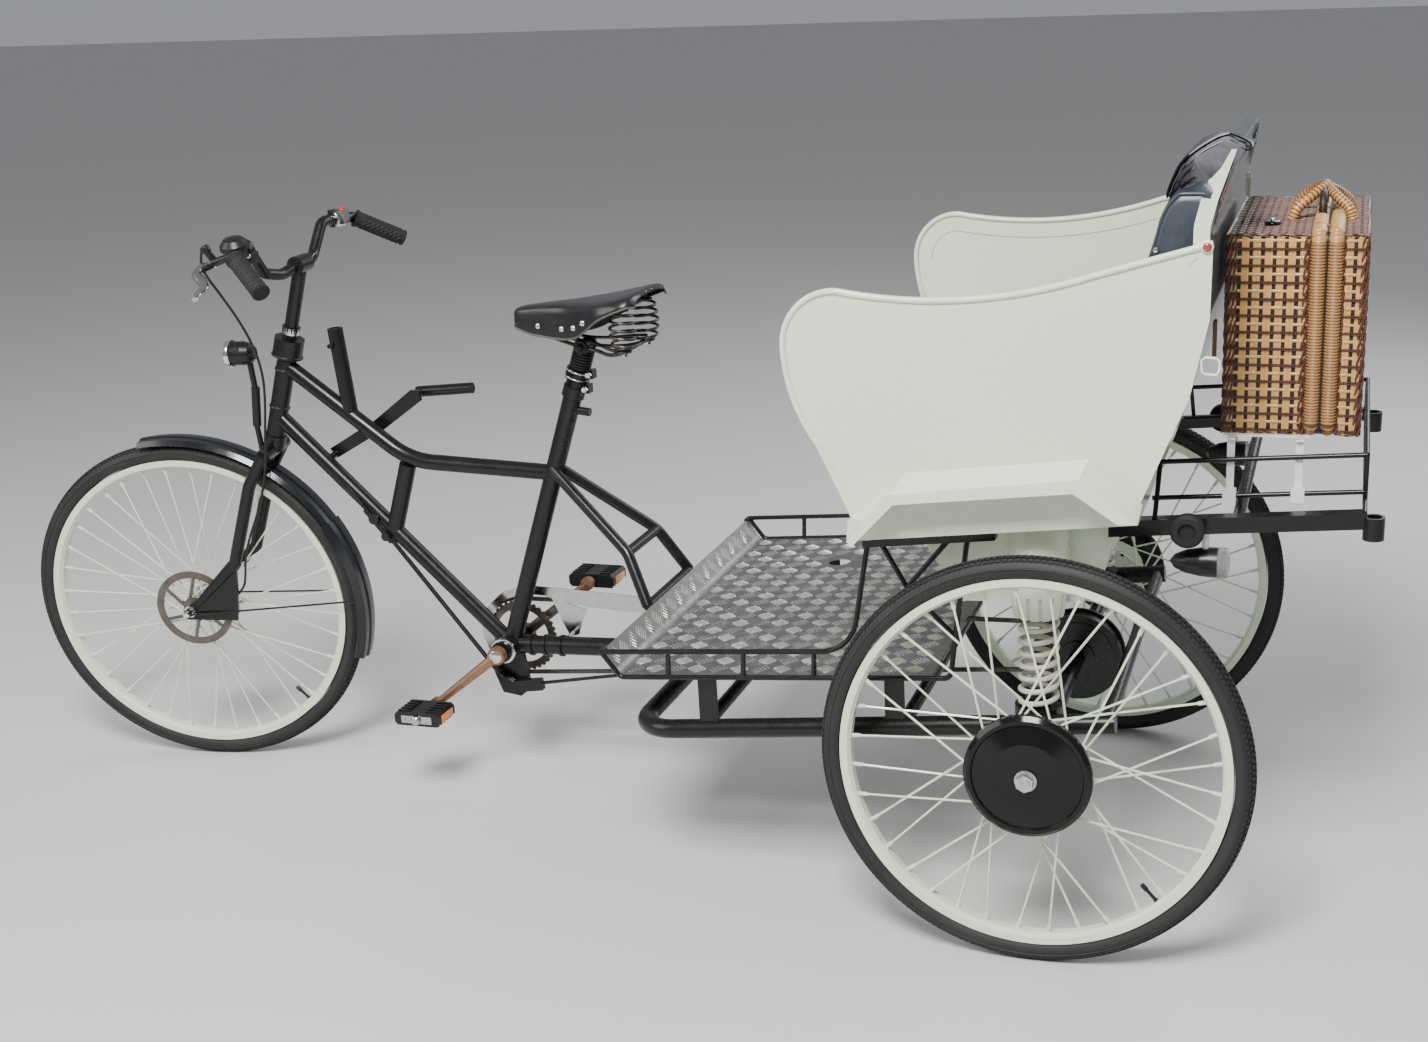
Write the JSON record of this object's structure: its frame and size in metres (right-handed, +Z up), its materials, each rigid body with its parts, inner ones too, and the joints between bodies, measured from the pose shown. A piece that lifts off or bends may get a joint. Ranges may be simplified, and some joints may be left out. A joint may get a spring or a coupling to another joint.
{
  "type": "cycle rickshaw",
  "caption": "Pedal tricycle rickshaw: steered front wheel and saddle ahead of a sprung two-seat body on two wire wheels, with a wicker hamper on its rear rack.",
  "frame": {"origin": "on the ground, at the middle of the whole machine's outline", "axes": "+X forward, +Y to the rider's left, +Z up"},
  "size_m": [2.7273, 1.122, 1.3223],
  "materials": {
    "black_paint": "gloss",
    "cream_paint": "satin",
    "bare_steel": "satin",
    "chrome": "polished",
    "rusty_steel": "rough",
    "chequer_plate": "satin",
    "tyre_rubber": "matte",
    "grip_rubber": "matte",
    "black_plastic": "satin",
    "saddle_leather": "semi-gloss",
    "seat_vinyl": "satin",
    "cover_cloth": "matte",
    "wicker": "satin",
    "spring_paint": "satin",
    "white_metal": "satin",
    "chain_steel": "oily"
  },
  "bodies": {
    "chassis": {"main_frame": "black_paint", "down_tube": "black_paint", "seat_tube": "black_paint", "post_socket": "black_paint", "rear_frame": "black_paint", "deck_bearers": "black_paint", "rear_axle": "bare_steel", "seat_post": "chrome", "saddle": "saddle_leather", "deck": "chequer_plate", "deck_rails": "black_paint", "tub_side_left": "cream_paint", "tub_side_right": "cream_paint", "fenders": "cream_paint", "seat_box": "cream_paint", "tub_back": "cream_paint", "seat_cushion": "seat_vinyl", "back_cushion": "seat_vinyl", "back_cover": "cover_cloth", "spring_towers": "cream_paint", "springs": "spring_paint", "chain": "chain_steel", "chain_guard": "bare_steel", "handbrake": "black_paint", "brake_rods": "bare_steel", "rack": "black_paint", "hamper_stand": "white_metal", "hamper_base": "wicker", "rear_lamps": "black_plastic", "buffers": "grip_rubber"},
    "steering": {"fork": "black_paint", "handlebar": "black_paint", "grips": "grip_rubber", "controls": "black_plastic", "headlamp": "black_plastic", "front_mudguard": "black_plastic", "brake_caliper": "bare_steel", "brake_cable": "black_plastic"},
    "front_wheel": {"front_tyre": "tyre_rubber", "front_wheel": "black_paint"},
    "rear_wheel_left": {"rear_tyre_left": "tyre_rubber", "rear_wheel_left": "cream_paint"},
    "rear_wheel_right": {"rear_tyre_right": "tyre_rubber", "rear_wheel_right": "cream_paint"},
    "crankset": {"crankset": "rusty_steel"},
    "pedal_left": {"pedal_left": "black_plastic"},
    "pedal_right": {"pedal_right": "black_plastic"},
    "hamper_lid": {"hamper_lid": "wicker"}
  },
  "joints": [
    {"name": "steering_turn", "type": "hinge", "parent": "chassis", "child": "steering", "pos_m": [0.731, 0, 0.922], "axis": [-0.3007, 0, 0.9537], "range_deg": [-59.5, 40.5]},
    {"name": "front_wheel_spin", "type": "hinge", "parent": "steering", "child": "front_wheel", "pos_m": [1.01864, 0.0172, 0.35157], "axis": [-0.1574, 0.9863, -0.0496], "continuous": true},
    {"name": "rear_wheel_left_spin", "type": "hinge", "parent": "chassis", "child": "rear_wheel_left", "pos_m": [-0.838, 0.482, 0.352], "axis": [0, 1, 0], "continuous": true},
    {"name": "rear_wheel_right_spin", "type": "hinge", "parent": "chassis", "child": "rear_wheel_right", "pos_m": [-0.838, -0.482, 0.352], "axis": [0, 1, 0], "continuous": true},
    {"name": "crank_spin", "type": "hinge", "parent": "chassis", "child": "crankset", "pos_m": [0.314, 0, 0.298], "axis": [0, 1, 0], "continuous": true},
    {"name": "pedal_left_spin", "type": "hinge", "parent": "crankset", "child": "pedal_left", "pos_m": [0.45584, 0.128, 0.18718], "axis": [0, 1, 0], "continuous": true},
    {"name": "pedal_right_spin", "type": "hinge", "parent": "crankset", "child": "pedal_right", "pos_m": [0.17216, -0.128, 0.40882], "axis": [0, 1, 0], "continuous": true},
    {"name": "hamper_lid_hinge", "type": "hinge", "parent": "chassis", "child": "hamper_lid", "pos_m": [-1.2533, 0, 0.847], "axis": [0, -1, 0], "range_deg": [0, 36]}
  ]
}
